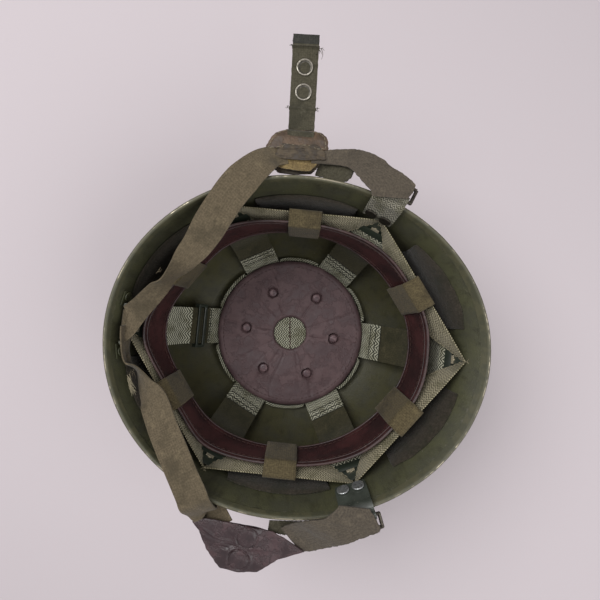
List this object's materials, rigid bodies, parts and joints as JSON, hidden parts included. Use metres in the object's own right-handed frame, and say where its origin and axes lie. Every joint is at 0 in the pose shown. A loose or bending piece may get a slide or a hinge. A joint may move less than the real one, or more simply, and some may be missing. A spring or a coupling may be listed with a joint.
{
  "type": "steel combat helmet",
  "caption": "Pot-shaped steel helmet with flared brim, webbing suspension, leather sweatband, crown pad and a two-part chin harness with a leather cup.",
  "frame": {"origin": "middle of the small flat on the crown, on the surface that the helmet rests on crown down", "axes": "+X to the helmet's front, +Y to the wearer's right, +Z out of the opening, away from the crown"},
  "size_m": [0.2836, 0.3955, 0.176],
  "materials": {
    "olive_paint": "satin olive paint, worn at the rim",
    "edge_steel": "olive paint worn through to bright steel",
    "felt": "grey-brown felt",
    "green_steel": "dark green paint",
    "bare_steel": "dull bright steel",
    "herringbone": "herringbone cotton webbing",
    "tape": "olive-brown cotton webbing",
    "oxblood_leather": "dark red-brown leather, semi gloss",
    "mauve_leather": "mauve-brown leather, matt",
    "brown_leather": "brown leather",
    "suede": "pale suede",
    "strap_webbing": "khaki cotton webbing"
  },
  "bodies": {
    "root": {"shell": "olive_paint", "rim_binding": "edge_steel", "wall_pad_1": "felt", "wall_pad_2": "felt", "wall_pad_3": "felt", "wall_pad_4": "felt", "wall_pad_5": "felt", "wall_pad_6": "felt", "anchor_plate_1": "green_steel", "anchor_plate_2": "green_steel", "anchor_plate_3": "green_steel", "anchor_plate_4": "green_steel", "anchor_plate_5": "green_steel", "anchor_plate_6": "green_steel", "anchor_rivets": "bare_steel", "head_web_1": "herringbone", "head_web_2": "herringbone", "head_web_3": "herringbone", "head_web_4": "herringbone", "head_web_5": "herringbone", "head_web_6": "herringbone", "web_loop_1": "tape", "web_loop_2": "tape", "web_loop_3": "tape", "web_loop_4": "tape", "web_loop_5": "tape", "web_loop_6": "tape", "sweatband": "oxblood_leather", "crown_strap_1": "tape", "crown_strap_2": "tape", "crown_strap_3": "tape", "crown_strap_4": "herringbone", "crown_strap_5": "tape", "crown_strap_6": "tape", "crown_backing": "herringbone", "crown_pad": "mauve_leather", "front_tab_right": "herringbone", "front_tab_left": "green_steel", "front_tab_rivets": "bare_steel", "front_ring_right": "bare_steel", "front_ring_left": "bare_steel", "front_fold_right": "strap_webbing", "front_fold_left": "strap_webbing", "rear_bracket": "green_steel", "rear_bracket_rivets": "bare_steel", "rear_fold": "strap_webbing"},
    "harness_right": {"rear_strap_right": "strap_webbing", "front_strap_right": "strap_webbing", "loose_end_right": "strap_webbing", "chin_cup": "brown_leather", "chin_cup_lining": "suede"},
    "closing": {"closing_strap": "strap_webbing", "snap_sockets": "bare_steel"},
    "harness_left": {"rear_strap_left": "strap_webbing", "front_strap_left": "strap_webbing", "loose_end_left": "strap_webbing", "stud_plate": "oxblood_leather", "snap_studs": "bare_steel"},
    "slide": {"crown_slide": "green_steel"}
  },
  "joints": [
    {"name": "swing_right", "type": "hinge", "parent": "root", "child": "harness_right", "pos_m": [-0.11621, 0.01478, 0.15196], "axis": [0.8379, 0.5362, 0.1023], "range_deg": [0, 90]},
    {"name": "closing_swing", "type": "hinge", "parent": "harness_right", "child": "closing", "pos_m": [-0.00535, 0.15854, 0.15641], "axis": [0.999, 0.0453, -0.0032], "range_deg": [0, 90]},
    {"name": "swing_left", "type": "hinge", "parent": "root", "child": "harness_left", "pos_m": [-0.11587, -0.02601, 0.14996], "axis": [-0.8569, 0.5021, -0.1169], "range_deg": [0, 90]},
    {"name": "crown_adjust", "type": "slide", "parent": "root", "child": "slide", "axis": [-0.557, 0, 0.8305], "range_m": [0, 0.012]}
  ]
}
